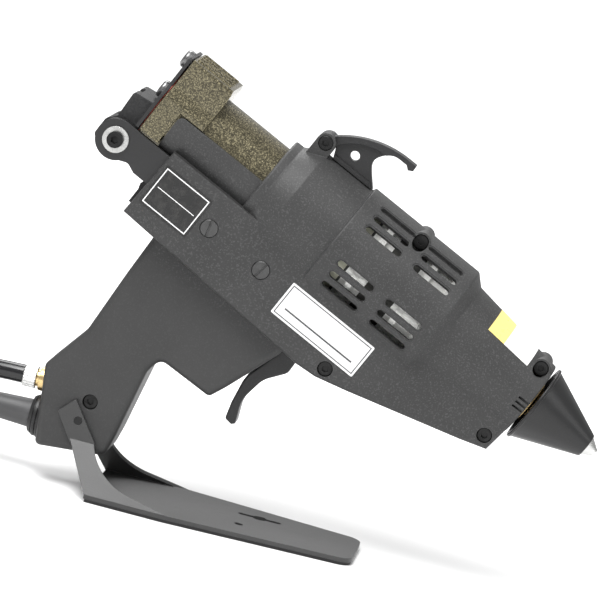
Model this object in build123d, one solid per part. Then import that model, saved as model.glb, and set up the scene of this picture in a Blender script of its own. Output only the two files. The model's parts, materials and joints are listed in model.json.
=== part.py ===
from build123d import *
from math import cos, pi, radians, sin, sqrt, tan
import os

# Pneumatic hot-melt glue gun on its bench stand.
#
# The gun is drawn in its own frame, in millimetres: x along the barrel towards the nozzle,
# x = 0 at the rear edge of the nozzle cone, z up from the barrel's axis, and y = 0 on the
# joint between the two casing halves. The user's left-hand side of the barrel is +y.
# The gun is then pitched nose down until the stand's plate lies flat, and moved so that
# the origin is under the middle of the part, on the bench.

# ---------------------------------------------------------------- driving dimensions
PITCH = 25.0            # nose-down angle of the barrel when the stand is on the bench
ORIGIN_X = 123.03       # from the origin forward to the pitched gun's cone edge
ORIGIN_Z = 114.5        # height of the barrel's axis over the bench at the cone edge

WALL = 2.6              # casing moulding
CLEAR = 0.3             # gap round pieces that only sit near each other

SLUG_BORE_R = 22.0      # takes 43 mm glue slugs
TUBE_R = 24.7
TUBE_REAR_X = -271.0
TUBE_FRONT_X = -152.0

LIP_REAR_X = -198.0     # barrel cover, from the tube's entry to the nose
LIP_R = 30.6
COLLAR_REAR_X = -191.0
COLLAR_REAR_R = 31.6
COLLAR_X = -180.0
COLLAR_R = 36.5
VENT_REAR_X = -145.9
VENT_FRONT_X = -70.4
VENT_R = 38.4
NOSE_REAR_X = -64.0
NOSE_REAR_R = 32.2
NOSE_X = -2.3
NOSE_R = 24.0
NOSE_BORE_R = 14.5

CRADLE_R = 28.0         # half pipe behind the cover that carries the loading tube
CRADLE_REAR_X = -257.0
CRADLE_TOP_Z = 5.0

BODY_HALF = 31.0        # flat-sided body under the barrel
BODY_TOP_Z = -13.5
BODY_REAR_X = -248.5
BODY_LOW_Z = -58.0
BODY_FRONT_HALF = 19.5
BODY_TAPER_X = -88.0     # ahead of this the sides draw in towards the nose

GRIP_HALF = 19.5        # handle

SLOT_LENGTH = 25.0      # cooling slots in the barrel cover
SLOT_WIDTH = 4.2
SLOT_X = (-124.0, -89.7)
SLOT_ANGLES = (64, 50, 37, -2, -14, -26)
SLOT_RIM = 0.9          # width of the shallow step round each slot
SLOT_RIM_DEPTH = 0.45

HEAD_R = 4.3            # casing screws
SHANK_R = 1.6
FRAME_HEAD_R = 5.1      # slotted screws that hold the chassis

PIVOT_X, PIVOT_Z = -277.6, -29.3        # breech door hinge
LUG_R = 12.0
LUG_INNER_Y, LUG_OUTER_Y = 20.0, 26.0
PIVOT_R = 3.0
HINGE_CLEAR = 0.06

TRIGGER_X, TRIGGER_Z = -124.0, -58.0    # trigger hinge
TRIGGER_HALF = 7.0
TRIGGER_PIN_R = 1.5
VALVE_Z = -86.0
STEM_END_X = -136.0      # just behind the trigger's rear face

SWITCH_Z = -47.5
SWITCH_X = -249.0
ROCKER_TILT = 8.0
ROCKER_PIN_R = 1.2

CONE_LENGTH = 39.5
CONE_R, CONE_TIP_R = 24.1, 7.2
TIP_END_X = 45.9

PLATE_REAR_X, PLATE_FRONT_X = -234.0, -77.0     # stand, in the pitched frame before the move
PLATE_HALF, PLATE_FRONT_HALF = 38.5, 27.0
PLATE_LOW_Z = -112.5
PLATE = 2.5
PAD = 2.0
ARM = 2.5
ARM_INNER_Y = 19.8

GLAND_Z = -80.6         # mains lead and air hose leave the butt level with the bench
AIR_Z = -59.2
MAINS_D = 8.5
HOSE_D = 11.0
BOOT_END_X = -325.0
FERRULE_END_X = -288.5

os.makedirs("parts", exist_ok=True)
nodes = {}


# ---------------------------------------------------------------- small tools
def outline(*corners):
    """A closed outline in the plane; a corner given as (u, v, r) is rounded by r."""
    face = make_face(Polyline(*[(c[0], c[1]) for c in corners], close=True))
    for corner in corners:
        if len(corner) == 3:
            near = face.vertices().sort_by_distance((corner[0], corner[1], 0))[0]
            face = fillet(near, corner[2])
    return face


def side(sketch, low_y, high_y):
    """An outline drawn in x and z, as thick as low_y to high_y."""
    return extrude(Plane.XZ.offset(-high_y) * sketch, high_y - low_y)


def turned(*corners):
    """A solid of revolution about the barrel axis from (x, radius) corners."""
    return revolve(Plane.XZ * outline(*corners), axis=Axis.X)


def rod(x0, x1, radius, y=0.0, z=0.0):
    """A cylinder along x."""
    return Pos((x0 + x1) / 2, y, z) * Rot(0, 90, 0) * Cylinder(radius, x1 - x0)


def pin(x, z, radius, low_y, high_y):
    """A cylinder along y."""
    return Pos(x, (low_y + high_y) / 2, z) * Rot(90, 0, 0) * Cylinder(radius, high_y - low_y)


def facing_x(sketch, x0, x1):
    """An outline drawn in y and z, as thick as x0 to x1."""
    return extrude(Plane(origin=(x0, 0, 0), x_dir=(0, 1, 0), z_dir=(1, 0, 0)) * sketch, x1 - x0)


def post(x, y, radius, low_z, high_z):
    """A cylinder along z."""
    return Pos(x, y, (low_z + high_z) / 2) * Cylinder(radius, high_z - low_z)


def block(x0, x1, y0, y1, z0, z1):
    return Pos((x0 + x1) / 2, (y0 + y1) / 2, (z0 + z1) / 2) * Box(x1 - x0, y1 - y0, z1 - z0)


def both_sides(shape):
    return [shape, mirror(shape, about=Plane.XZ)]


def pitched(shape):
    """From the gun's frame to the level frame of the stand."""
    return Rot(0, PITCH, 0) * shape


def unpitched(shape):
    return Rot(0, -PITCH, 0) * shape


def add_gun(name, *shapes):
    """Keeps solids drawn in the gun's frame as one node of the part."""
    nodes[name] = [Pos(ORIGIN_X, 0, ORIGIN_Z) * pitched(s) for s in shapes]


def add_level(name, *shapes):
    """Keeps solids drawn in the level frame as one node of the part."""
    nodes[name] = [Pos(ORIGIN_X, 0, ORIGIN_Z) * s for s in shapes]


def add_bench(name, *shapes):
    """Keeps solids drawn in the part's own frame as one node."""
    nodes[name] = list(shapes)


# ---------------------------------------------------------------- casing
BODY_SIDE = outline((-247.3, BODY_TOP_Z), (BODY_REAR_X - 0.5, BODY_LOW_Z), (-119, -63.6),
                    (-106, -62.5), (-20.2, -39.7), (-4.5, -34.9), (NOSE_X, BODY_TOP_Z))
BODY_PLAN = outline((-252, -BODY_HALF), (BODY_TAPER_X, -BODY_HALF), (-2, -BODY_FRONT_HALF),
                    (-2, BODY_FRONT_HALF), (BODY_TAPER_X, BODY_HALF), (-252, BODY_HALF))
GRIP_SIDE = outline((-227.5, -50), (-226, -88, 20), (-223.5, -128, 20), (-230.2, -158.7, 4),
                    (-206.2, -200, 3), (-170.6, -179.2, 5), (-172.6, -166, 6),
                    (-181.8, -124, 12), (-179.8, -114.2, 5), (-145.4, -113.2, 3),
                    (-141.3, -103.3, 6), (-129.2, -68), (-129.2, -50))

# screws that join the casing halves: x, z, and the near and far ends of the boss
CASING_SCREWS = {
    "body": (-104.2, -55.1, 28.6),
    "nose_low": (-10.5, -28.9, 18.4),
    "grip": (-196.2, -159.1, 17.0),
}
TOP_PADS = {"nose_top": (-9.5, 20.0, 12.5), "vent_top": (-107.3, 33.2, 14.0)}
HOOK_X, HOOK_Z = -184.3, 42.0
HOOK_EAR_R = 5.7
FRAME_SCREWS = ((-204.9, -34.3, 106), (-167.4, -34.2, 81))     # x, z and the slot's angle


def cover_solid():
    return turned((LIP_REAR_X, 0), (LIP_REAR_X, LIP_R, 1.2), (-192.6, LIP_R),
                  (COLLAR_REAR_X, COLLAR_REAR_R), (COLLAR_X, COLLAR_R, 3),
                  (VENT_REAR_X - 0.9, COLLAR_R), (VENT_REAR_X, VENT_R, 0.8),
                  (VENT_FRONT_X, VENT_R, 2), (NOSE_REAR_X, NOSE_REAR_R, 2), (NOSE_X, NOSE_R, 1),
                  (NOSE_X, 0))


def cover_hollow():
    return turned((-188, 0), (-188, COLLAR_REAR_R - WALL + 0.7), (-179, COLLAR_R - WALL),
                  (-147.5, COLLAR_R - WALL), (-144.5, VENT_R - WALL), (-71.5, VENT_R - WALL),
                  (-65, NOSE_REAR_R - WALL), (-6, NOSE_R - WALL + 0.4), (-6, 0))


def body_solid():
    body = side(BODY_SIDE, -40, 40) & extrude(Pos(0, 0, -80) * BODY_PLAN, 80)
    rims = [e for e in body.edges() if abs(e.center().Y) > 12 and e.center().Z < -22]
    upright = [e for e in rims if abs(e.center().X - BODY_TAPER_X) < 3 and e.length > 30]
    return fillet([e for e in rims if e not in upright], 2.5)


def body_hollow():
    hollow = side(offset(BODY_SIDE, -WALL), -40, 40)
    hollow &= extrude(Pos(0, 0, -80) * offset(BODY_PLAN, -WALL), 80)
    return hollow - rod(-270, -188, CRADLE_R)


def grip_solid():
    grip = side(GRIP_SIDE, -GRIP_HALF, GRIP_HALF)
    rims = [e for e in grip.edges() if abs(abs(e.center().Y) - GRIP_HALF) < 0.01
            and e.center().Z < -66]
    return fillet(rims, 4.0)


def grip_hollow():
    return side(offset(GRIP_SIDE, -WALL), -GRIP_HALF + WALL, GRIP_HALF - WALL)


def cradle_solid():
    pipe = rod(CRADLE_REAR_X, -190, CRADLE_R)
    profile = outline((CRADLE_REAR_X - 1, -40), (CRADLE_REAR_X, CRADLE_TOP_Z, 4),
                      (-189, CRADLE_TOP_Z), (-189, -40))
    return pipe & side(profile, -40, 40)


def vent_cutters():
    slot = extrude(SlotOverall(SLOT_LENGTH, SLOT_WIDTH), 6, both=True)
    rim = SlotOverall(SLOT_LENGTH + 2 * SLOT_RIM, SLOT_WIDTH + 2 * SLOT_RIM)
    slot += Pos(0, 0, -SLOT_RIM_DEPTH) * extrude(rim, 4)
    for x in SLOT_X:
        for angle in SLOT_ANGLES:
            out = Vector(0, -cos(radians(angle)), sin(radians(angle)))
            place = Plane(origin=Vector(x, 0, 0) + out * VENT_R, x_dir=(1, 0, 0), z_dir=out)
            yield from both_sides(place * slot)


def handle_outlets():
    """Holes of the gland and the air fitting, in the gun's frame."""
    gland = rod(-290, -271.2, 13.2, z=GLAND_Z) + rod(-290, -260, 8.1, z=GLAND_Z)
    air = rod(-290, -274.4, 7.4, z=AIR_Z) + rod(-290, -262, 4.8, z=AIR_Z)
    return unpitched(gland + air)


def casing():
    shell = cover_solid() + body_solid() + grip_solid() + cradle_solid()
    for x, z, half in TOP_PADS.values():
        shell += pin(x, z, HEAD_R + 1.4, -half, half)
    ear = pin(HOOK_X, HOOK_Z, HOOK_EAR_R, 4.8, 9.0)
    ear += block(HOOK_X - HOOK_EAR_R, HOOK_X + HOOK_EAR_R, 4.8, 9.0, 31, HOOK_Z)
    for half_ear in both_sides(ear):
        shell += half_ear
    shell -= cover_hollow() + body_hollow() + grip_hollow()
    shell -= rod(-270, -187, TUBE_R + 0.3)
    shell -= rod(-8, 0, NOSE_BORE_R)
    for cutter in vent_cutters():
        shell -= cutter
    for notch in range(3):
        place = Rot(-4 + 7 * notch, 0, 0) * Pos(-7.5, -NOSE_R, 0)
        shell -= place * Rot(0, 0, -6.6) * Box(9, 2.4, 1.3)
    # bosses and holes of the screws
    for x, z, half in CASING_SCREWS.values():
        shell += pin(x, z, HEAD_R + 1.3, -half, half)
        shell -= pin(x, z, SHANK_R + 0.1, -half - 9, half - 3)
        shell -= pin(x, z, HEAD_R + 0.2, -45, -half + 1.2)
    for x, z, half in TOP_PADS.values():
        shell += pin(x, z, HEAD_R - 0.5, -half, half) - rod(-150, -64, 30) - rod(-40, 0, 15)
        shell -= pin(x, z, SHANK_R + 0.1, -half - 9, half - 3)
        shell -= pin(x, z, HEAD_R + 0.2, -45, -half + 3.2)
    shell -= pin(HOOK_X, HOOK_Z, SHANK_R + 0.1, -20, 8)
    shell -= pin(HOOK_X, HOOK_Z, HEAD_R, -20, -7.6)
    for x, z, _ in FRAME_SCREWS:
        shell -= pin(x, z, FRAME_HEAD_R + 0.25, BODY_HALF - 1.4, 40)
        shell -= pin(x, z, FRAME_HEAD_R + 0.25, -40, -BODY_HALF + 1.4)
        shell -= pin(x, z, SHANK_R + 0.5, -40, 40)
    # trigger hinge bosses, and the opening that the trigger swings in
    for boss in both_sides(pin(TRIGGER_X, TRIGGER_Z, 4.0, 8.6, 28.6)):
        shell += boss
    shell -= pin(TRIGGER_X, TRIGGER_Z, TRIGGER_PIN_R, -16, 16)
    swing = outline((-152, -110.2), (-131, -56), (-114.5, -56), (-117.5, -70), (-121, -110.2))
    shell -= side(swing, -TRIGGER_HALF - 1.2, TRIGGER_HALF + 1.2)
    # power switch, chassis arms, outlets and the stand's studs
    shell -= block(-260, -240, -8.2, 8.2, SWITCH_Z - 6.2, SWITCH_Z + 6.2)
    for slot in both_sides(block(-262, -228, LUG_INNER_Y - 0.4, LUG_OUTER_Y + 0.4, -38.6, -17)):
        shell -= slot
    shell -= handle_outlets()
    shell -= unpitched(pin(-249, -73, 2.7, -30, 30))
    return shell


def build_casing():
    whole = casing()
    for name, low, high in (("casing_right", -60, 0), ("casing_left", 0, 60)):
        half = whole & block(-300, 60, low, high, -230, 90)
        largest = half.solids().sort_by(SortBy.VOLUME)[-1]
        add_gun(name, largest)


def screw_head(x, z, radius, face_y, under_y, end_y, slot_turn=None):
    """A screw along y whose head faces -y, with a hex socket or a turned slot."""
    head = pin(x, z, radius, face_y, under_y)
    head = chamfer(head.edges().sort_by(Axis.Y)[0], 0.35)
    screw = head + pin(x, z, SHANK_R, under_y, end_y)
    if slot_turn is None:
        return screw - side(Pos(x, z) * RegularPolygon(2.1, 6), face_y - 1, face_y + 1.4)
    slot = Pos(x, z) * Rot(0, 0, slot_turn) * Rectangle(2 * radius + 1, 1.3)
    return screw - side(slot, face_y - 1, face_y + 1.1)


def build_screws():
    screws = []
    for x, z, half in CASING_SCREWS.values():
        face = -half - 0.8
        screws.append(screw_head(x, z, HEAD_R, face, -half + 1.2, half - 4))
    for x, z, half in TOP_PADS.values():
        face = -half + 0.6
        screws.append(screw_head(x, z, HEAD_R, face, -half + 3.2, half - 4))
    screws.append(screw_head(HOOK_X, HOOK_Z, HEAD_R - 0.2, -9.6, -7.6, 7))
    add_gun("casing_screws", *screws)
    slotted = []
    for x, z, turn in FRAME_SCREWS:
        screw = screw_head(x, z, FRAME_HEAD_R, -BODY_HALF - 0.4, -BODY_HALF + 1.4, -23.5, turn)
        slotted += both_sides(screw)
    add_gun("frame_screws", *slotted)


# ---------------------------------------------------------------- chassis and breech
def build_chassis():
    arm = outline((PIVOT_X, PIVOT_Z - LUG_R), (PIVOT_X, PIVOT_Z + LUG_R),
                  (-262, -17.5), (-234, -17.5), (-234, -29.8), (-160, -29.8), (-160, -38),
                  (-258, -38), (-264, -35.5, 4))
    plate = side(arm, LUG_INNER_Y, LUG_OUTER_Y)
    plate -= rod(-300, -180, CRADLE_R + CLEAR)
    lug = pin(PIVOT_X, PIVOT_Z, LUG_R, LUG_INNER_Y, LUG_OUTER_Y)
    plate = (plate + lug).solids().sort_by(SortBy.VOLUME)[-1]
    plate -= pin(PIVOT_X, PIVOT_Z, PIVOT_R + 0.05, 0, 40)
    for x, z, _ in FRAME_SCREWS:
        plate -= pin(x, z, SHANK_R + 0.05, 0, 40)
    bridge = block(-240, -234, -LUG_INNER_Y, LUG_INNER_Y, -38, -29.8)
    halves = both_sides(plate)
    add_gun("chassis_bracket", halves[0] + bridge + halves[1])
    washer = pin(PIVOT_X, PIVOT_Z, 7.6, LUG_OUTER_Y, LUG_OUTER_Y + 1.2)
    washer -= pin(PIVOT_X, PIVOT_Z, PIVOT_R + 0.05, 0, 40)
    add_gun("pivot_washers", *both_sides(chamfer(washer.edges().sort_by(Axis.Y)[-1], 0.4)))
    under = LUG_OUTER_Y + 1.2
    bolt = pin(PIVOT_X, PIVOT_Z, PIVOT_R, -under, under + 5)
    bolt += pin(PIVOT_X, PIVOT_Z, 4.7, -under - 2.4, -under)
    bolt -= side(Pos(PIVOT_X, PIVOT_Z) * RegularPolygon(2.4, 6), -under - 3, -under - 0.7)
    add_gun("pivot_bolt", bolt)
    nut = side(Pos(PIVOT_X, PIVOT_Z) * RegularPolygon(5.4, 6), under, under + 4)
    add_gun("pivot_nut", nut - pin(PIVOT_X, PIVOT_Z, PIVOT_R + 0.05, 0, 60))


SADDLE_FRONT_X = -242.0
DOOR_FACE_X = TUBE_REAR_X - 0.8
DOOR_BACK_X = DOOR_FACE_X - 2.0


def build_breech():
    tube = turned((TUBE_REAR_X, SLUG_BORE_R), (TUBE_REAR_X, TUBE_R, 0.6),
                  (TUBE_FRONT_X, TUBE_R), (TUBE_FRONT_X, SLUG_BORE_R))
    add_gun("loading_tube", tube)
    # saddle block: a wide foot with sloped shoulders, and a ridged top
    section = outline((-27.2, -15.5), (-27.2, 8.8, 1), (-21.4, 14.8, 1), (-21.4, 33.4, 2),
                      (21.4, 33.4, 2), (21.4, 14.8, 1), (27.2, 8.8, 1), (27.2, -15.5))
    saddle = facing_x(section, TUBE_REAR_X + 0.3, SADDLE_FRONT_X)
    saddle -= block(-258, -240, -30, 30, -30, 5.8)
    saddle -= rod(-280, -240, TUBE_R + 0.05)
    nose = outline((-244.3, 40), (-240, 40), (-240, 30), (-241.9, 30))
    saddle -= side(nose, -30, 30)
    ridge = Pos(0, 0, 33.2) * Rot(0, 90, 0) * Cylinder(1.5, 24)
    for y in (-13.5, -4.5, 4.5, 13.5):
        saddle += Pos(-257.5, y, 0) * ridge
    add_gun("tube_saddle", saddle.solids().sort_by(SortBy.VOLUME)[-1])
    # breech door: cast block with a hub between the lugs, and the thin plate on its face
    hub_half = LUG_INNER_Y - 0.4
    cast = outline((-290, -36.2, 3), (-290, -24.6, 3), (-285.6, -19), (-286.4, -2.4, 2),
                   (DOOR_BACK_X, -0.6), (DOOR_BACK_X, -33.5), (-281, -38.6, 4))
    door = side(cast, -hub_half, hub_half)
    door -= pin(PIVOT_X, PIVOT_Z, PIVOT_R + HINGE_CLEAR, -40, 40)
    door -= block(-300, -283.6, -7, 7, -23, 5)
    add_gun("breech_door", door)
    face = outline((-hub_half, -27), (-hub_half, -16), (-25.8, -16), (-25.8, 7.6), (-20.4, 13.6),
                   (-20.4, 33, 2), (20.4, 33, 2), (20.4, 13.6), (25.8, 7.6), (25.8, -16),
                   (hub_half, -16), (hub_half, -27))
    add_gun("door_plate", facing_x(face, DOOR_BACK_X, DOOR_FACE_X))
    seal = turned((DOOR_FACE_X, 22.4), (DOOR_FACE_X, 24.4), (TUBE_REAR_X - 0.15, 24.4),
                  (TUBE_REAR_X - 0.15, 22.4))
    add_gun("door_seal", seal)
    screws = []
    for z in (6.0, 28.0):
        head = fillet(rod(DOOR_BACK_X - 4.2, DOOR_BACK_X, 5.6, z=z).edges().sort_by(Axis.X)[0], 2)
        head -= facing_x(Pos(0, z) * RegularPolygon(2.4, 6), DOOR_BACK_X - 5, DOOR_BACK_X - 2)
        screws.append(head)
    add_gun("door_screws", *screws)


# ---------------------------------------------------------------- hot parts
def build_hot_parts():
    chamber = turned((-148, SLUG_BORE_R), (-148, 26), (-70, 26, 3), (-66, 18, 3), (-14, 18),
                     (-14, 4.2), (-42, 4.2), (-70, SLUG_BORE_R))
    for x in (-139, -124, -92, -77):
        chamber += turned((x - 2, 25), (x - 2, 28.6), (x + 2, 28.6), (x + 2, 25))
    chamber += block(-140, -82, -18, 18, -38, -22) - rod(-150, -60, 24)
    for heater in both_sides(rod(-150, -80, 4.05, y=11, z=-32)):
        chamber -= heater
    add_gun("melt_chamber", chamber)
    heaters = [rod(-146, -84, 4.0, y=y, z=-32) for y in (-11, 11)]
    add_gun("heater_cartridges", *heaters)
    add_gun("thermostat", post(-110, 0, 7, -44, -38) + block(-112, -108, -11, 11, -46, -44))
    add_gun("rear_insulator", turned((-158, TUBE_R + 0.1), (-158, 33.2), (-146, 33.2),
                                     (-146, 26.2), (-148.2, 26.2), (-148.2, SLUG_BORE_R),
                                     (-151.8, SLUG_BORE_R), (-151.8, TUBE_R + 0.1)))
    add_gun("front_insulator", turned((-24, 18.2), (-24, 23.2), (-17, 22.4), (-17, 18.2)))
    add_gun("nozzle_body", turned((-14, 2.5), (-14, 12.5), (-1, 12.5), (0.5, 9), (30, 7, 2),
                                  (CONE_LENGTH, 4.2), (CONE_LENGTH, 2.5)))
    cone = turned((0, CONE_R - 2.8), (0, CONE_R, 0.6), (1.6, CONE_R), (2.0, CONE_R - 1.0),
                  (CONE_LENGTH, CONE_TIP_R, 0.8), (CONE_LENGTH, 4.6), (33, 7.4), (4, 20.4))
    add_gun("nozzle_cone", cone)
    add_gun("nozzle_tip", turned((CONE_LENGTH, 1.2), (CONE_LENGTH, 6.3), (TIP_END_X - 1, 2.6, 0.6),
                                 (TIP_END_X, 2.0), (TIP_END_X, 1.2)))


# ---------------------------------------------------------------- hook
def build_hook():
    upper = ThreePointArc((-183.2, 47.2), (-163.5, 59.4), (-141, 63.4))
    tip = Polyline((-141, 63.4), (-136.2, 63.4), (-136, 60.2), (-138.6, 58.7), (-141, 60.6))
    throat = Spline((-141, 60.6), (-150.8, 59.4), (-156.4, 52.9), (-147.4, 37.2),
                    tangents=[(-1, 0), (0.9, -1)])
    root = Polyline((-147.4, 37.2), (-176, 37.2), (-178.8, 43.5), (-183.2, 47.2))
    full = make_face([upper, tip, throat, root])
    lower = Polyline((-160, 70), (-190, 70), (-190, 43.6), (-179.6, 43.2))
    rim_edge = ThreePointArc((-179.6, 43.2), (-165, 55.0), (-156.5, 57.2))
    rim_end = Polyline((-156.5, 57.2), (-146, 58), (-130, 58), (-130, 70), (-160, 70))
    rim_zone = make_face([lower, rim_edge, rim_end])
    hook = side(full, -2.4, 2.4) + side(full & rim_zone, -4.4, 4.4)
    foot = outline((-176, 36.9), (-176, 39.4), (-151, 39.4), (-148.6, 36.9))
    hook += side(foot, -4.4, 4.4)
    hook += pin(HOOK_X, HOOK_Z, HOOK_EAR_R, -4.4, 4.4)
    hook -= rod(-200, -130, COLLAR_R + CLEAR)
    hook -= turned((-195, 0), (-195, LIP_R + 0.4), (-191.5, COLLAR_REAR_R + 0.5),
                   (-180, COLLAR_R + CLEAR), (-170, COLLAR_R + CLEAR), (-170, 0))
    hook -= pin(HOOK_X, HOOK_Z, SHANK_R + 0.1, -20, 20)
    hook -= pin(-167, 45.8, 2.85, -20, 20)
    add_gun("suspension_hook", hook.solids().sort_by(SortBy.VOLUME)[-1])


# ---------------------------------------------------------------- trigger and valve
def build_trigger():
    lever = outline((-128.8, -60), (-119.4, -60), (-118.6, -75.7, 6), (-127.4, -88, 16),
                    (-129.6, -105, 18), (-123.8, -118.1, 1), (-125.5, -120, 1),
                    (-130.4, -119.5, 2), (-133.4, -109.6, 14), (-136.5, -93, 20),
                    (-130.8, -72, 6))
    trigger = side(lever, -TRIGGER_HALF, TRIGGER_HALF)
    rims = [e for e in trigger.edges() if abs(abs(e.center().Y) - TRIGGER_HALF) < 0.01
            and e.center().Z < -74]
    trigger = fillet(rims, 1.2)
    trigger += pin(TRIGGER_X, TRIGGER_Z, 4.8, -TRIGGER_HALF, TRIGGER_HALF)
    trigger -= pin(TRIGGER_X, TRIGGER_Z, TRIGGER_PIN_R + HINGE_CLEAR, -10, 10)
    add_gun("trigger", trigger)
    add_gun("trigger_pin", pin(TRIGGER_X, TRIGGER_Z, TRIGGER_PIN_R, -16, 16))
    valve = block(-188, -158, -9, 9, VALVE_Z - 8, VALVE_Z + 8) + rod(-158, -153, 6, z=VALVE_Z)
    valve -= rod(-170, -150, 3.1, z=VALVE_Z)
    add_gun("valve_body", valve)
    stem = rod(-163, STEM_END_X, 2.4, z=VALVE_Z) + rod(-141, -139, 4.6, z=VALVE_Z)
    add_gun("valve_plunger", stem)
    # helical return spring between the valve and the plunger's collar
    coil = Helix(pitch=2.4, height=10.6, radius=3.9, center=(0, 0, 0), direction=(0, 0, 1))
    wire = sweep(Plane(origin=coil @ 0, z_dir=coil % 0) * Circle(0.4), path=coil)
    add_gun("valve_spring", Pos(-152.3, 0, VALVE_Z) * Rot(0, 90, 0) * wire)


def air_tube(points, radii, radius):
    path = FilletPolyline(*points, radius=radii)
    section = Plane(origin=path @ 0, z_dir=path % 0) * Circle(radius)
    return sweep(section, path=path)


def build_air_and_power():
    add_gun("supply_pipe", air_tube([(-222.6, 0, -158.2), (-212, 0, -153.5), (-205, 8, -138),
                                     (-205, 8, -100), (-200, 3, -88), (-188.2, 0, VALVE_Z)],
                                    [7, 10, 7, 6], 2.5))
    add_gun("feed_pipe", air_tube([(-176, 4, -77.8), (-176, 4, -66), (-186, 4, -50),
                                   (-212, 4, -42), (-226, 0, -34), (-226, 0, -28.2)],
                                  [6, 12, 8, 2.5], 2.0))
    add_gun("control_board", block(-228, -192, -19, 19, -53, -51.4),
            block(-222, -212, -14, -4, -51.4, -46.5), block(-206, -196, 6, 16, -51.4, -47))
    add_level("terminal_block", block(-258, -240, -12, 12, -87.5, -79.5))
    bezel = block(-251.2, -249.1, -11, 11, SWITCH_Z - 8, SWITCH_Z + 8)
    bezel = fillet(bezel.edges().filter_by(Axis.X), 1.5)
    bezel += block(-249.1, -238, -8, 8, SWITCH_Z - 6, SWITCH_Z + 6)
    bezel -= block(-255, -240.5, -6.4, 6.4, SWITCH_Z - 5, SWITCH_Z + 5)
    bezel -= pin(SWITCH_X + 2.5, SWITCH_Z, ROCKER_PIN_R + HINGE_CLEAR, -7.6, 7.6)
    add_gun("switch_bezel", bezel)
    rocker = outline((-246.6, -4.5), (-252.0, -4.3), (-251.2, 0), (-252.0, 4.3), (-246.6, 4.5),
                     (-245.4, 0))
    pivot = SWITCH_X + 2.5
    tilted = Pos(pivot, SWITCH_Z) * Rot(0, 0, ROCKER_TILT) * Pos(-pivot, 0) * rocker
    pivots = pin(pivot, SWITCH_Z, ROCKER_PIN_R, -7.4, 7.4)
    add_gun("power_switch", side(tilted, -6, 6) + pivots)


# ---------------------------------------------------------------- labels
def build_labels():
    name = side(Pos(-119.2, -38.2) * RectangleRounded(58.8, 21.4, 0.8), -BODY_HALF - 0.4,
                -BODY_HALF - 0.02)
    add_gun("name_label", name)
    rating = side(Pos(-229, -34.2) * RectangleRounded(32.8, 26.2, 0.8), -BODY_HALF - 0.3,
                  -BODY_HALF - 0.02)
    add_gun("rating_label", rating)


# ---------------------------------------------------------------- stand
STUD_X, STUD_Z = -249.0, -73.0
WEB_TOP_Z = -84.0
WEB_RISE = WEB_TOP_Z - (PLATE_LOW_Z + PLATE)
WEB_RUN = PLATE_HALF - ARM_INNER_Y - ARM
WEB_SLOPE = sqrt(WEB_RISE ** 2 + WEB_RUN ** 2)


def stand_arm():
    """Arm on the +y side: a tab on the grip, then a web that leans out to the plate's edge."""
    lap = WEB_TOP_Z - 2.0
    tab = outline((-251.0, lap), (-237.2, lap), (-236.8, WEB_TOP_Z + 0.5), (-252.9, -61.1, 0.8),
                  (-261.6, -70.1, 0.8))
    arm = side(tab, ARM_INNER_Y, ARM_INNER_Y + ARM)
    arm -= pin(STUD_X, STUD_Z, 2.55, 0, 40)
    foot = Plane(origin=(0, PLATE_HALF, PLATE_LOW_Z + PLATE), x_dir=(1, 0, 0),
                 z_dir=(0, -WEB_RISE, -WEB_RUN))
    edge = [Line((PLATE_REAR_X, 0), (-184, 0)), Line((-184, 0), (-208, 5.2)),
            ThreePointArc((-208, 5.2), (-225.5, 13.6), (-236.8, WEB_SLOPE)),
            Line((-236.8, WEB_SLOPE), (-251.4, WEB_SLOPE)),
            Line((-251.4, WEB_SLOPE), (PLATE_REAR_X, 0))]
    web = extrude(foot * make_face(edge), ARM)
    return arm + web


def build_stand():
    plan = outline((PLATE_REAR_X, -PLATE_HALF, 1), (-188, -PLATE_HALF, 60),
                   (PLATE_FRONT_X, -PLATE_FRONT_HALF, 9), (PLATE_FRONT_X, PLATE_FRONT_HALF, 9),
                   (-188, PLATE_HALF, 60), (PLATE_REAR_X, PLATE_HALF, 1))
    plate = extrude(Pos(0, 0, PLATE_LOW_Z) * plan, PLATE)
    plate -= Pos(-137, 14, PLATE_LOW_Z) * extrude(SlotOverall(26, 4.4), 10, both=True)
    plate -= post(-137, 14, 4.5, PLATE_LOW_Z - 5, PLATE_LOW_Z + 5)
    plate -= post(-146, -12, 2.6, PLATE_LOW_Z - 5, PLATE_LOW_Z + 5)
    for arm in both_sides(stand_arm()):
        plate += arm
    low_cut = block(-300, 0, -60, 60, PLATE_LOW_Z - 20, PLATE_LOW_Z)
    add_level("bench_stand", (plate - low_cut).solids().sort_by(SortBy.VOLUME)[-1])
    pad = extrude(Pos(0, 0, PLATE_LOW_Z - PAD) * offset(plan, -0.8), PAD)
    pad -= post(-137, 14, 15, PLATE_LOW_Z - 5, PLATE_LOW_Z + 5)
    pad -= post(-146, -12, 5, PLATE_LOW_Z - 5, PLATE_LOW_Z + 5)
    add_level("stand_pad", pad)
    studs = both_sides(pin(STUD_X, STUD_Z, 2.5, 11.0, ARM_INNER_Y + ARM))
    add_level("stand_studs", *studs)
    nut = side(Pos(STUD_X, STUD_Z) * RegularPolygon(4.6, 6), 12.5, GRIP_HALF - WALL - 0.05)
    nut -= pin(STUD_X, STUD_Z, 2.55, 0, 40)
    add_level("stand_nuts", *both_sides(nut))


# ---------------------------------------------------------------- fittings at the butt
def level_turned(z, *corners):
    return Pos(0, 0, z) * turned(*corners)


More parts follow.
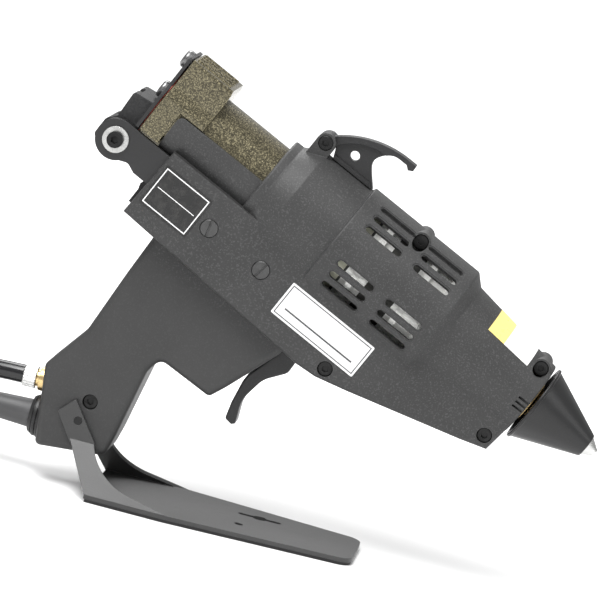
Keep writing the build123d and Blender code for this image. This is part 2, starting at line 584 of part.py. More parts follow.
def build_fittings():
    add_level("cable_gland", level_turned(
        GLAND_Z, (-263.5, 5.2), (-263.5, 7.9), (-271.2, 7.9), (-271.2, 12.9), (-274.4, 12.9, 0.6),
        (-274.4, 11.2), (-275.0, 11.2), (-275.0, 12.4), (-276.8, 12.4, 0.5), (-276.8, 10.8),
        (-277.4, 10.8), (-277.4, 11.6), (-279.5, 10.4, 0.5), (-279.5, 5.2)))
    add_level("gland_nut", level_turned(GLAND_Z, (-263.6, 7.95), (-263.6, 10), (-266.8, 10),
                                        (-266.8, 7.95)))
    add_level("cable_boot", level_turned(
        GLAND_Z, (-279.5, 0), (-279.5, 8.4), (-296, 7.6), (BOOT_END_X, 5.6, 0.8),
        (BOOT_END_X, 0)))
    add_level("air_fitting", level_turned(
        AIR_Z, (-262.5, 1.6), (-262.5, 4.6), (-274.4, 4.6), (-274.4, 7.1, 0.4),
        (-279.0, 7.1, 0.4), (-279.0, 5.0), (-280.6, 5.0), (-280.6, 1.6)))
    add_level("air_ferrule", level_turned(
        AIR_Z, (-280.6, 0), (-280.6, 6.7, 0.5), (FERRULE_END_X, 6.7, 0.5), (FERRULE_END_X, 0)))


# ---------------------------------------------------------------- mains lead and air hose
BENCH_GLAND_Z = GLAND_Z + ORIGIN_Z
BENCH_AIR_Z = AIR_Z + ORIGIN_Z
TIE = 1.2               # thickness of a strap round a coil
COIL_X, COIL_Y = -337.0, 16.5       # both cords lie in one oval hank beside the handle
COIL_LONG = 38.0                    # straight part of a turn, between its two half circles
HOSE_COIL_R = 45.0
HOSE_COIL_WIDE = 2 * HOSE_D
HOSE_COIL_HIGH = 2 * HOSE_D
HOSE_COIL_LOW = TIE
MAINS_COIL_R = 43.25
MAINS_COIL_WIDE = 3 * MAINS_D
MAINS_COIL_HIGH = 2 * MAINS_D
MAINS_COIL_LOW = HOSE_COIL_LOW + HOSE_COIL_HIGH + TIE   # the lead lies on the hose
PLUG_LOW = MAINS_COIL_LOW + MAINS_COIL_HIGH + 0.05      # and its plug on the lead
PLUG_X, PLUG_Y, PLUG_Z = COIL_X, COIL_Y + 33.0, PLUG_LOW + 13.95

MAINS_ROUTE = [
    (BOOT_END_X + ORIGIN_X, 0, BENCH_GLAND_Z), (-222, -1.5, 33.6), (-246, -11, 32),
    (-270, -25, 30.2), (-296, -34, 28.9), (COIL_X, -35.25, 28.65)]
MAINS_END_ROUTE = [
    (-381.9, -28.3, 37.15), (-405, -5, 37.6), (-408, 20, 40.5), (-396, 49, 46),
    (-370, 56.5, 52), (-350, 50.8, 54.9), (PLUG_X + 2, PLUG_Y, PLUG_Z)]
HOSE_ROUTE = [
    (FERRULE_END_X + ORIGIN_X, 0, BENCH_AIR_Z), (-186, 1, 54.8), (-212, 13, 47.5),
    (-240, 35, 30), (-266, 55, 14.5), (-288, 64.8, 8), (-312, 66.8, 6.8), (COIL_X, 67, 6.7)]
HOSE_END_ROUTE = [
    (COIL_X, -34, 17.7), (-312, -34.6, 17.7), (-292, -35, 16), (-272, -34.4, 9),
    (-252, -33, 7)]


def corner_radii(route):
    """The largest even arc at each inner point: 0.45 of the shorter run over tan(turn / 2)."""
    radii = []
    for a, b, c in zip(route, route[1:], route[2:]):
        first, second = Vector(b) - Vector(a), Vector(c) - Vector(b)
        half_turn = radians(first.get_angle(second)) / 2
        radii.append(0.45 * min(first.length, second.length) / tan(half_turn))
    return radii


def cord_tube(name, route, diameter):
    radii = corner_radii(route)
    path = FilletPolyline(*route, radius=radii)
    tube = sweep(Plane(origin=path @ 0, z_dir=path % 0) * Circle(diameter / 2), path=path)
    expected = pi * diameter ** 2 / 4 * path.length
    print(name, "radii", [round(r) for r in radii], "length", round(path.length, 1),
          "volume over section x length", round(tube.volume / expected, 4))
    return tube


def coil_solid(low, mean_r, wide, high):
    oval = SlotCenterToCenter(COIL_LONG, 2 * mean_r + wide)
    oval -= SlotCenterToCenter(COIL_LONG, 2 * mean_r - wide)
    ring = Pos(COIL_X, COIL_Y, low) * extrude(oval, amount=high)
    levels = ring.edges().group_by(Axis.Z)
    return fillet(levels[0] + levels[-1], 3.0)


def coil_tie(low, mean_r, wide, high, angle):
    """A strap round the coil's turns, on the half circle away from the gun."""
    outer = Box(12, wide + 0.8 + 2 * TIE, high + 2 * TIE - 0.1)
    inner = Box(20, wide + 0.8, high + 0.1)
    strap = Pos(0, 0, low + high / 2) * (outer - inner)
    return Pos(COIL_X - COIL_LONG / 2, COIL_Y, 0) * Rot(0, 0, angle) * Pos(0, mean_r, 0) * strap


def build_mains():
    add_bench("mains_lead", cord_tube("mains_lead", MAINS_ROUTE, MAINS_D))
    size = (MAINS_COIL_LOW, MAINS_COIL_R, MAINS_COIL_WIDE, MAINS_COIL_HIGH)
    add_bench("mains_coil", coil_solid(*size) + cord_tube("end", MAINS_END_ROUTE, MAINS_D))
    add_bench("lead_tie", coil_tie(*size, 135))
    # plug on top of the hank, pins up, in line with the lead's end
    sleeve = Pos(PLUG_X + 16, PLUG_Y, PLUG_Z) * Rot(0, 90, 0) * Cone(4.9, 7.0, 32)
    middle = PLUG_X + 55
    body = Pos(middle, PLUG_Y, PLUG_LOW + 11) * Box(50, 46, 22)
    body = fillet(body.edges().filter_by(Axis.Z), 8)
    body = fillet(body.edges().group_by(Axis.Z)[-1], 2.5)
    add_bench("mains_plug", body + sleeve)
    pins = [Pos(middle + dx, PLUG_Y + dy, PLUG_LOW + 22 + 8.5) * Box(dx_size, dy_size, 17)
            for dx, dy, dx_size, dy_size in ((-10, -11, 6.4, 4), (-10, 11, 6.4, 4), (12, 0, 4, 8))]
    add_bench("plug_pins", *pins)


def build_hose():
    add_bench("air_hose", cord_tube("air_hose", HOSE_ROUTE, HOSE_D))
    size = (HOSE_COIL_LOW, HOSE_COIL_R, HOSE_COIL_WIDE, HOSE_COIL_HIGH)
    add_bench("hose_coil", coil_solid(*size))
    add_bench("hose_tie", coil_tie(*size, 45))
    add_bench("hose_end", cord_tube("hose_end", HOSE_END_ROUTE, HOSE_D))
    # male quick-connect nipple on the hose's end, lying on the bench
    place = Pos(*HOSE_END_ROUTE[-1])
    add_bench("hose_ferrule", place * turned((0, 0), (0, 6.8, 0.6), (22, 6.8, 0.6), (22, 0)))
    nipple = turned((22, 0), (22, 6.9, 0.5), (30, 6.9, 0.5), (30, 5.0), (38, 5.0), (39, 3.8),
                    (42, 3.8), (43, 4.5), (50, 4.5, 0.6), (50, 0))
    add_bench("hose_nipple", place * nipple)


# ---------------------------------------------------------------- the whole part
build_casing()
build_screws()
build_chassis()
build_breech()
build_hot_parts()
build_hook()
build_trigger()
build_air_and_power()
build_labels()
build_stand()
build_fittings()
build_mains()
build_hose()

CORD_NODES = ["cable_boot", "mains_lead", "mains_coil", "lead_tie", "mains_plug", "plug_pins",
              "air_hose", "hose_coil", "hose_tie", "hose_end", "hose_ferrule", "hose_nipple"]

for node, solids in nodes.items():
    shape = solids[0] if len(solids) == 1 else Compound(children=solids)
    export_step(shape, f"parts/{node}.step")

object_box = Compound(children=[s for node, solids in nodes.items()
                                if node not in CORD_NODES for s in solids]).bounding_box()
print("nodes", len(nodes), "object box", object_box)
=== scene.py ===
import json
import math

import bmesh
import bpy
from bpy.props import FloatProperty, FloatVectorProperty, PointerProperty
from mathutils import Matrix, Vector


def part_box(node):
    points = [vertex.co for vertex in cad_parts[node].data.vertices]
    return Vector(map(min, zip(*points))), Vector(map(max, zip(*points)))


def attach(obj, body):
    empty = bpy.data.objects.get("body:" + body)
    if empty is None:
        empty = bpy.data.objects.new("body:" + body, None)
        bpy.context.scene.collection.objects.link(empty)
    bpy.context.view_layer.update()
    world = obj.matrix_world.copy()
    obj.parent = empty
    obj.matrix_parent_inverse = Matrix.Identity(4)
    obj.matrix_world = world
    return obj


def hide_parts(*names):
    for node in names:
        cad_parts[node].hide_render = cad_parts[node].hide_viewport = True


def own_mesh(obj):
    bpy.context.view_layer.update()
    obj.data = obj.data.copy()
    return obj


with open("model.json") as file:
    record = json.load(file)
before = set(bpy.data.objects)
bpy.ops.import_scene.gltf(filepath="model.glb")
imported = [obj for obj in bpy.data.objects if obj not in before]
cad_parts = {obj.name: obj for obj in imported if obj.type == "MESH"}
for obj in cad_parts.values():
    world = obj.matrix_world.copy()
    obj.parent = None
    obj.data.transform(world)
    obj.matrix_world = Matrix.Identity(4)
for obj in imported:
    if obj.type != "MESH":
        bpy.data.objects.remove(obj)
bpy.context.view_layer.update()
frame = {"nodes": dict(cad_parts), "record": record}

bl_info = {
    "name": "Glue gun on its bench stand",
    "version": (1, 0, 0),
    "blender": (4, 5, 0),
    "location": "View3D > Sidebar > Glue gun",
    "description": "Finishes, cords, labels, fittings and stage of a hot-melt glue gun",
    "category": "Object",
}

MM = 0.001
MOUNTS = {m["name"]: m for m in frame["record"]["mounts"]}

# ------------------------------------------------------------------ the gun's own axes
# x runs along the barrel towards the nozzle, y to the user's left, z up from the barrel;
# the origin is on the barrel's axis at the rear edge of the nozzle cone.
BARREL = -Vector(MOUNTS["slug_bore"]["axis"]).normalized()
LEFT = Vector((0, 1, 0))
ABOVE = BARREL.cross(LEFT)
BORE_MIDDLE_X = -211.5 * MM
GUN_ORIGIN = Vector(MOUNTS["slug_bore"]["pos_m"]) - BORE_MIDDLE_X * BARREL
GUN = Matrix.Translation(GUN_ORIGIN) @ Matrix((BARREL, LEFT, ABOVE)).transposed().to_4x4()


def gun_point(x, y, z):
    """A point of the gun's own frame, given in millimetres, in the row frame."""
    return GUN @ Vector((x * MM, y * MM, z * MM))


# ------------------------------------------------------------------ cords
MAINS_DIAMETER = 8.5 * MM
HOSE_DIAMETER = 11 * MM
TURN_POINTS = 24
# both cords lie in one oval hank; its long way is along x
HANK = Vector((-0.337, 0.0165, 0))
HANK_LONG = 0.038
HOSE_RADIUS = 50.5 * MM              # centreline of the outer turns' half circles
MAINS_RADIUS = 51.75 * MM
HOSE_LEVELS = (6.7 * MM, 17.7 * MM)
MAINS_LEVELS = (28.65 * MM, 37.15 * MM)
PLUG_LEVEL = 55.4 * MM
PLUG_RADIUS = 33 * MM
MAINS_ROUTE = [
    (-0.20197, 0, 0.0339), (-0.222, -0.0015, 0.0336), (-0.246, -0.011, 0.032),
    (-0.270, -0.025, 0.0302), (-0.296, -0.034, 0.0289)]
HOSE_ROUTE = [
    (-0.16547, 0, 0.0553), (-0.186, 0.001, 0.0548), (-0.212, 0.013, 0.0475),
    (-0.240, 0.035, 0.030), (-0.266, 0.055, 0.0145), (-0.288, 0.0648, 0.008),
    (-0.312, 0.0668, 0.0068)]
HOSE_END_ROUTE = [
    (-0.312, -0.0346, 0.0177), (-0.292, -0.035, 0.016), (-0.272, -0.0344, 0.009),
    (-0.252, -0.033, 0.007)]

# ------------------------------------------------------------------ view
VIEW_TILT = math.radians(11)         # how far the view looks down on the barrel
VIEW_ROLL = math.radians(39.1)       # how far the barrel points down across the view
VIEW_DISTANCE = 2.0
VIEW_WIDTH = 0.342                   # what the view spans at the gun
VIEW_CENTRE = (-139.7, 0, 0)         # on the barrel, in the gun's frame
VIEW_BELOW = 38.5                    # and this far below it across the view
SENSOR = 36.0


def new_object(name, mesh, finish, body="gun"):
    """A finished mesh as a piece that rides on a body."""
    piece = bpy.data.objects.new(name, mesh)
    bpy.context.scene.collection.objects.link(piece)
    mesh.materials.append(finish)
    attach(piece, body)
    return piece


def mesh_from(bm, name, smooth_angle=40):
    """Ends a bmesh: doubles merged, faces outwards, smooth except over sharp edges."""
    bmesh.ops.remove_doubles(bm, verts=bm.verts, dist=1e-6)
    bmesh.ops.recalc_face_normals(bm, faces=bm.faces)
    for face in bm.faces:
        face.smooth = True
    for edge in bm.edges:
        if len(edge.link_faces) == 2:
            edge.smooth = edge.calc_face_angle(0) < math.radians(smooth_angle)
    mesh = bpy.data.meshes.new(name)
    bm.to_mesh(mesh)
    bm.free()
    return mesh


def turned(bm, profile, place, steps=48):
    """Spins (x, radius) corners, in millimetres, about the x axis of a placing matrix."""
    corners = [bm.verts.new(place @ Vector((x * MM, 0, r * MM))) for x, r in profile]
    runs = [bm.edges.new(pair) for pair in zip(corners, corners[1:])]
    bmesh.ops.spin(bm, geom=corners + runs, cent=place.translation,
                   axis=place.to_3x3() @ Vector((1, 0, 0)), angle=math.tau, steps=steps,
                   use_merge=True)


def rounded_box(bm, size, place, radius, segments=3):
    """A box of a size in millimetres about a placing matrix, with all edges rounded."""
    scale = Matrix.Diagonal((*[s * MM for s in size], 1))
    made = bmesh.ops.create_cube(bm, size=1, matrix=place @ scale)
    edges = {e for v in made["verts"] for e in v.link_edges}
    bmesh.ops.bevel(bm, geom=list(edges), offset=radius * MM, affect="EDGES",
                    segments=segments, profile=0.5, material=-1)


# ------------------------------------------------------------------ shader maths
class Value:
    """A node's output. Arithmetic on it adds Math nodes to the same finish."""

    def __init__(self, finish, socket):
        self.finish = finish
        self.socket = socket

    def math(self, operation, *values):
        inputs = dict(enumerate(values))
        return self.finish.node("ShaderNodeMath", {"operation": operation}, inputs)

    def __add__(self, other):
        return self.math("ADD", self, other)

    def __sub__(self, other):
        return self.math("SUBTRACT", self, other)

    def __rsub__(self, other):
        return self.math("SUBTRACT", other, self)

    def __mul__(self, other):
        return self.math("MULTIPLY", self, other)

    def __gt__(self, other):
        return self.math("GREATER_THAN", self, other)

    def __lt__(self, other):
        return self.math("LESS_THAN", self, other)

    __radd__ = __add__
    __rmul__ = __mul__

    def abs(self):
        return self.math("ABSOLUTE", self)

    def sine(self):
        return self.math("SINE", self)

    def root(self):
        return self.math("SQRT", self)

    def largest(self, other):
        return self.math("MAXIMUM", self, other)

    def between(self, low, high):
        """0 below low, 1 above high and even in between."""
        return self.finish.node("ShaderNodeMapRange", {"clamp": True},
                                {"Value": self, "From Min": low, "From Max": high})


class Finish:
    """A material as it is built: one Principled shader and what feeds it."""

    def __init__(self, name, colour, roughness, metallic=0.0, **constants):
        self.material = bpy.data.materials.new(name)
        self.material.use_nodes = True
        self.tree = self.material.node_tree
        self.shader = next(n for n in self.tree.nodes if n.type == "BSDF_PRINCIPLED")
        self.colour = (*colour, 1)
        self.set("Base Color", self.colour)
        self.set("Roughness", roughness)
        self.set("Metallic", metallic)
        for socket, value in constants.items():
            self.set(socket.replace("_", " "), value)
        self.place = self.node("ShaderNodeTexCoord", out="Object")

    def node(self, kind, settings=None, inputs=None, out=0):
        made = self.tree.nodes.new(kind)
        for key, value in (settings or {}).items():
            setattr(made, key, value)
        for key, value in (inputs or {}).items():
            self.feed(made.inputs[key], value)
        return Value(self, made.outputs[out])

    def feed(self, socket, value):
        if isinstance(value, Value):
            self.tree.links.new(value.socket, socket)
        else:
            socket.default_value = value

    def set(self, socket, value):
        self.feed(self.shader.inputs[socket], value)

    def noise(self, size, detail=2.0, roughness=0.5, place=None):
        """Even noise whose lumps are about a size in millimetres."""
        inputs = {"Vector": place or self.place, "Scale": 1 / (size * MM), "Detail": detail,
                  "Roughness": roughness}
        return self.node("ShaderNodeTexNoise", None, inputs)

    def cells(self, size, place=None):
        inputs = {"Vector": place or self.place, "Scale": 1 / (size * MM)}
        return self.node("ShaderNodeTexVoronoi", None, inputs)

    def along(self, direction, origin=GUN_ORIGIN):
        """Distance from a plane through origin, in millimetres, in a direction."""
        moved = self.node("ShaderNodeVectorMath", {"operation": "SUBTRACT"},
                          {0: self.place, 1: tuple(origin)})
        return self.node("ShaderNodeVectorMath", {"operation": "DOT_PRODUCT"},
                         {0: moved, 1: tuple(direction)}, "Value") * (1 / MM)

    def tint(self, share, colour, under=None):
        """Colours mixed by a share; what is under is the finish's own colour."""
        return self.node("ShaderNodeMix", {"data_type": "RGBA"},
                         {0: share, 6: self.colour if under is None else under,
                          7: colour if isinstance(colour, Value) else (*colour, 1)}, 2)

    def rounded_normal(self, radius):
        return self.node("ShaderNodeBevel", {"samples": 4}, {"Radius": radius * MM})

    def edges(self, rounded):
        """1 on the finish's outer edges, 0 on its faces."""
        flat = self.node("ShaderNodeNewGeometry", out="Normal")
        facing = self.node("ShaderNodeVectorMath", {"operation": "DOT_PRODUCT"},
                           {0: rounded, 1: flat}, "Value")
        return (1 - facing).between(0.01, 0.14)

    def bump(self, height, depth, rounded=None):
        """Height from 0 to 1 as bumps of a depth in millimetres."""
        inputs = {"Height": height, "Distance": depth * MM, "Strength": 1.0}
        if rounded is not None:
            inputs["Normal"] = rounded
        self.set("Normal", self.node("ShaderNodeBump", None, inputs))


def lighter(colour, factor):
    return tuple(min(1.0, c * factor) for c in colour)


# ------------------------------------------------------------------ finishes
def moulded(name, colour, grain=0.8, depth=0.10, roughness=0.5, round_edge=0.5):
    """Black moulded plastic with a spark-eroded grain, rubbed a little at its edges."""
    made = Finish(name, colour, roughness, Specular_IOR_Level=0.4)
    rounded = made.rounded_normal(round_edge)
    fine = made.noise(grain, 3.0, 0.6)
    coarse = made.noise(28, 2.0)
    specks = made.noise(grain * 1.3, 1.0).between(0.56, 0.72)
    body = made.tint(coarse.between(0.3, 0.7), lighter(colour, 1.25))
    grained = made.tint(specks * 0.45, lighter(colour, 2.6), body)
    made.set("Base Color", made.tint(made.edges(rounded) * 0.35, lighter(colour, 2.4), grained))
    made.set("Roughness", fine.between(0.2, 0.8) * 0.16 + (roughness - 0.08))
    made.bump(fine, depth, rounded)
    return made.material


def casing_finish(colour):
    """The casing: coarse grain over barrel and body, a smoother handle, and a parting line."""
    made = Finish("casing_plastic", colour, 0.5, Specular_IOR_Level=0.4)
    rounded = made.rounded_normal(0.5)
    below = made.along(ABOVE)
    handle = (below * -1).between(62, 72)
    grain = made.noise(0.75, 3.0, 0.65)
    specks = made.noise(0.9, 1.0).between(0.55, 0.70) * (1 - handle * 0.75)
    cloud = made.noise(35, 2.0).between(0.3, 0.7)
    scuffs = made.noise(9, 4.0, 0.7).between(0.62, 0.75) * 0.25
    joint = made.along(LEFT).abs() < 0.16
    body = made.tint(cloud, lighter(colour, 1.2))
    dusty = made.tint(scuffs, lighter(colour, 1.9), body)
    grained = made.tint(specks * 0.5, lighter(colour, 3.0), dusty)
    edged = made.tint(made.edges(rounded) * 0.4, lighter(colour, 2.5), grained)
    made.set("Base Color", made.tint(joint, lighter(colour, 0.25), edged))
    made.set("Roughness", grain.between(0.2, 0.8) * 0.18 + (0.44 - handle * 0.04))
    made.bump(grain * (1 - handle * 0.7) - joint * 2, 0.13, rounded)
    return made.material


def hammered_bronze(colour):
    """Antique bronze hammer paint: pale metallic flecks floating in olive brown."""
    made = Finish("hammered_bronze", colour, 0.36, 0.7, Coat_Roughness=0.22)
    rounded = made.rounded_normal(0.6)
    cells = made.cells(1.5)
    flecks = made.noise(0.8, 2.0, 0.6).between(0.50, 0.66)
    veins = (cells * 1.4).between(0.25, 0.9)
    dark = made.tint(veins, lighter(colour, 0.42))
    pale = made.tint(flecks * 0.75, lighter(colour, 2.3), dark)
    made.set("Base Color", made.tint(made.edges(rounded) * 0.5, lighter(colour, 3.2), pale))
    made.set("Roughness", flecks * 0.14 + 0.26)
    made.set("Coat Weight", flecks * 0.3 + 0.35)
    made.bump(made.noise(1.2, 2.0), 0.10, rounded)
    return made.material


def painted_steel(name, colour, roughness=0.42, grain=0.7, depth=0.05):
    """Satin powder coat on sheet steel, rubbed at its edges."""
    made = Finish(name, colour, roughness)
    rounded = made.rounded_normal(0.5)
    orange_peel = made.noise(grain, 2.0)
    cloud = made.noise(40, 3.0).between(0.3, 0.7)
    rubs = made.noise(14, 5.0, 0.75).between(0.58, 0.74) * 0.3
    body = made.tint(cloud, lighter(colour, 1.3))
    rubbed = made.tint(rubs, lighter(colour, 1.8), body)
    made.set("Base Color", made.tint(made.edges(rounded) * 0.6, lighter(colour, 3.2), rubbed))
    made.set("Roughness", cloud * 0.08 + rubs * 0.2 + (roughness - 0.04))
    made.bump(orange_peel, depth, rounded)
    return made.material


def cast_finish(name, colour):
    """A rough black casting."""
    made = Finish(name, colour, 0.62, 0.2)
    rounded = made.rounded_normal(0.9)
    lumps = made.noise(1.6, 4.0, 0.65)
    body = made.tint(lumps.between(0.35, 0.7), lighter(colour, 2.2))
    made.set("Base Color", made.tint(made.edges(rounded) * 0.5, lighter(colour, 4.5), body))
    made.bump(lumps, 0.35, rounded)
    return made.material


def machined(name, colour, roughness=0.28, direction=BARREL, pitch=0.5, tarnish=0.5):
    """Turned or ground metal: fine tool marks across a direction, and a little tarnish."""
    made = Finish(name, colour, roughness, 1.0)
    rounded = made.rounded_normal(0.25)
    marks = (made.along(direction) * (math.tau / pitch)).sine()
    stains = made.noise(6, 4.0, 0.6).between(0.42, 0.75)
    fine = made.noise(0.4, 2.0)
    dulled = made.tint(stains * tarnish, lighter(colour, 0.45))
    made.set("Base Color", made.tint(made.edges(rounded) * 0.4, lighter(colour, 1.35), dulled))
    made.set("Roughness", stains * 0.2 + fine * 0.1 + (roughness - 0.05))
    made.bump(marks * 0.5 + fine * 0.5, 0.02, rounded)
    return made.material


def rubber(name, colour, roughness=0.55, grain=0.6):
    """Rubber or sheathing: a fine matt skin with a little dust on it."""
    made = Finish(name, colour, roughness)
    skin = made.noise(grain, 3.0, 0.6)
    dust = made.noise(18, 4.0, 0.7).between(0.5, 0.8)
    made.set("Base Color", made.tint(dust * 0.5, lighter(colour, 2.0)))
    made.set("Roughness", skin * 0.14 + dust * 0.12 + (roughness - 0.08))
    made.bump(skin, 0.04, made.rounded_normal(0.4))
    return made.material


def woven(name, colour):
    """A woven strap: two crossed sets of ribs."""
    made = Finish(name, colour, 0.85)
    pitch = math.tau / 0.9
    one = made.along((1, 1, 0), (0, 0, 0)) * pitch
    two = made.along((1, -1, 1), (0, 0, 0)) * pitch
    weave = one.sine() * two.sine()
    made.set("Base Color", made.tint(weave.between(-0.6, 0.8) * 0.7, lighter(colour, 2.2)))
    made.bump(weave * 0.5 + made.noise(0.5, 2.0) * 0.5, 0.15)
    return made.material


def ceramic(name, colour):
    """A pale insulating moulding, browned near the heat."""
    made = Finish(name, colour, 0.7)
    burnt = made.noise(12, 4.0, 0.6).between(0.45, 0.8)
    made.set("Base Color", made.tint(burnt * 0.5, (0.28, 0.19, 0.10)))
    made.bump(made.noise(0.8, 3.0), 0.08, made.rounded_normal(0.4))
    return made.material


COLLAR_RADIUS = 26.4        # past this the chamber's surface is a bright turned collar


def chamber_finish(colour):
    """The chamber: olive anodised body, each bright turned band painted near white, partly as a
    painted highlight, and painted shade in each gap between them.
    """
    made = Finish("chamber_metal", colour, 0.38, 0.45)
    along = made.along(BARREL)
    across = made.along(ABOVE)
    beside = made.along(LEFT)
    reach = (across * across + beside * beside).root()
    # each band is bright turned metal, painted near white partly as a painted highlight
    bright_bands_and_highlight = (along > -130) * (along < -116.5) + (along > -97.5) * (along < -79)
    rings = (reach > COLLAR_RADIUS).largest(bright_bands_and_highlight)
    # painted shade: the gap behind the flange and the stretch between the two band stretches,
    # painted near black
    painted_gap_shade = (along > -131.5) * (along < -130) + (along > -116.5) * (along < -97.5)
    heat = made.noise(16, 3.0, 0.6).between(0.4, 0.75)
    marks = (along * 9).sine()
    body = made.tint(heat * 0.4, lighter(colour, 0.6))
    # painted shade in each gap, near black
    shaded = made.tint(painted_gap_shade, (0.05, 0.05, 0.045), body)
    # collars and each band near white: bright metal, partly a painted highlight
    made.set("Base Color", made.tint(rings * (1 - painted_gap_shade), (0.90, 0.90, 0.87), shaded))
    made.set("Roughness", 0.5 - rings * 0.16)
    made.bump(marks, 0.02, made.rounded_normal(0.3))
    return made.material


def circuit_finish(colour):
    """Green board lacquer with paler tracks."""
    made = Finish("circuit_board", colour, 0.3)
    tracks = made.cells(3.0)
    lines = (tracks.abs() - 0.42).abs() < 0.03
    made.set("Base Color", made.tint(lines * 0.7, lighter(colour, 2.2)))
    made.bump(lines, 0.03)
    return made.material


# plain bars on the labels: centre along and up, half length and half width, in millimetres
NAME_BARS = [(0, -4.2, 24.0, 0.5)]
RATING_BARS = [(0, 0, 13.0, 0.22)]


def label_finish(name, centre, width, height, ground, ink, bars):
    """A film label: plain ground, a border rule, and plain bars (u, v, half sizes)."""
    made = Finish(name, ground, 0.26)
    middle = gun_point(*centre)
    u, v = made.along(BARREL, middle).abs(), made.along(ABOVE, middle).abs()
    inset = 1.5
    rule = 0.3
    far_u, far_v = width / 2 - inset, height / 2 - inset
    outer = (u < far_u + rule) * (v < far_v + rule)
    inner = (u < far_u - rule) * (v < far_v - rule)
    marks = outer - inner
    for bar_u, bar_v, half_u, half_v in bars:
        du = (made.along(BARREL, middle) - bar_u).abs()
        dv = (made.along(ABOVE, middle) - bar_v).abs()
        marks = marks + (du < half_u) * (dv < half_v)
    soil = made.noise(5, 4.0, 0.7).between(0.5, 0.85) * 0.12
    soiled = made.tint(soil, (0.3, 0.29, 0.27))
    made.set("Base Color", made.tint(marks, ink, soiled))
    made.set("Roughness", made.noise(8, 3.0) * 0.14 + 0.2)
    made.bump(made.noise(3, 2.0), 0.02)
    return made.material


# ------------------------------------------------------------------ what a user would change
def colour_property(label, description, colour):
    return FloatVectorProperty(name=label, description=description, default=colour,
                               size=3, min=0, max=1, subtype="COLOR")


def length_property(label, description, millimetres):
    return FloatProperty(name=label, description=description, default=millimetres * MM,
                         min=0, unit="LENGTH")


class GlueGunColours(bpy.types.PropertyGroup):
    """Colours of the gun's main finishes."""

    casing: colour_property("Casing", "Both casing halves", (0.030, 0.030, 0.030))
    trim: colour_property("Trim", "Trigger, hook, cone and gland", (0.015, 0.015, 0.0155))
    bronze: colour_property("Bronze", "Hammer paint of the tube and its saddle",
                            (0.150, 0.132, 0.080))
    stand: colour_property("Stand", "Powder coat of the bench stand", (0.030, 0.030, 0.030))
    chassis: colour_property("Chassis", "Bracket, breech door and its plate",
                             (0.014, 0.014, 0.0145))
    steel: colour_property("Steel", "Bright steel pieces", (0.56, 0.56, 0.55))
    brass: colour_property("Brass", "Air fittings and plug pins", (0.74, 0.55, 0.27))
    chamber: colour_property("Chamber", "Anodised melt chamber", (0.62, 0.62, 0.50))
    rubber: colour_property("Rubber", "Boot, lead and pads", (0.030, 0.030, 0.031))
    hose: colour_property("Hose", "Glossy air hose", (0.008, 0.008, 0.009))


class GlueGunSizes(bpy.types.PropertyGroup):
    """Sizes of what is added round the fixed model."""

    lead: FloatProperty(name="Lead diameter", description="Mains lead", min=0.003,
                        default=MAINS_DIAMETER, unit="LENGTH")
    hose: FloatProperty(name="Hose diameter", description="Air hose", min=0.003,
                        default=HOSE_DIAMETER, unit="LENGTH")
    strap: length_property("Strap thickness", "Straps round the coils", 1.0)
    knurl: length_property("Knurl depth", "Grooves of the knurled ferrules", 0.28)
    film: length_property("Label film", "Thickness of the label on the nose", 0.2)


def colours():
    return bpy.context.scene.glue_gun_colours


def sizes():
    return bpy.context.scene.glue_gun_sizes


# ------------------------------------------------------------------ cords in code
def eased(share):
    share = min(1.0, max(0.0, share))
    return share * share * (3 - 2 * share)


def oval_point(radius, share, side):
    """A place on the hank's oval, from the middle of its straight on one side, going -x.

    side is -1 or 1 for the straight at -y or +y; share 1 is a whole turn.
    """
    straight = HANK_LONG / 2
    arc = math.pi * radius
    run = (share % 1) * (2 * HANK_LONG + 2 * arc)
    if run > arc + HANK_LONG:
        x, y = oval_point(radius, share - 0.5, side)
        return 2 * HANK.x - x, 2 * HANK.y - y
    if run <= straight:
        return HANK.x - run, HANK.y + side * radius
    if run >= arc + straight:
        return HANK.x - straight + run - arc - straight, HANK.y - side * radius
    angle = (run - straight) / radius
    return (HANK.x - straight - radius * math.sin(angle),
            HANK.y + side * radius * math.cos(angle))


def hank_points(rings, side, turns, rise=None):
    """Control points of a hank wound through (radius, height) rings, one ring a turn.

    Turns step inwards late in a turn, climb before that and step outwards first, so that
    they never cross. rise is a (radius, height) that the last half turn moves to.
    """
    points = []
    for step in range(round(turns * TURN_POINTS) + 1):
        turn = step / TURN_POINTS
        at = min(int(turn), len(rings) - 1)
        onward = min(at + 1, len(rings) - 1)
        (radius, height), (next_radius, next_height) = rings[at], rings[onward]
        if next_height > height:
            first, last = 0.65, 0.9
        elif next_radius > radius:
            first, last = 0.5, 0.7
        else:
            first, last = 0.75, 0.95
        share = eased((turn - at - first) / (last - first))
        radius += (next_radius - radius) * share
        height += (next_height - height) * share
        if rise and at == len(rings) - 1:
            height += (rise[1] - height) * eased((turn - at - 0.17) / 0.33)
            radius += (rise[0] - radius) * eased((turn - at - 0.32) / 0.18)
        x, y = oval_point(radius, turn, side)
        points.append((x, y, height))
    return points


def cord_object(name, points, diameter, finish):
    """A cord as one smooth curve through its control points."""
    curve = bpy.data.curves.new(name, "CURVE")
    curve.dimensions = "3D"
    curve.bevel_depth = diameter / 2
    curve.bevel_resolution = 5
    curve.resolution_u = 5
    curve.use_fill_caps = True
    spline = curve.splines.new("NURBS")
    spline.points.add(len(points) - 1)
    for control, point in zip(spline.points, points):
        control.co = (*point, 1)
    spline.order_u = 3
    spline.use_endpoint_u = True
    piece = bpy.data.objects.new(name, curve)
    bpy.context.scene.collection.objects.link(piece)
    curve.materials.append(finish)
    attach(piece, "gun")
    return piece


STRAP_WIDTH = 12 * MM
# width and height of the turns that each strap holds
STRAP_OVER = {"lead_tie": (3 * MAINS_DIAMETER, 2 * MAINS_DIAMETER),
              "hose_tie": (2 * HOSE_DIAMETER, 2 * HOSE_DIAMETER)}


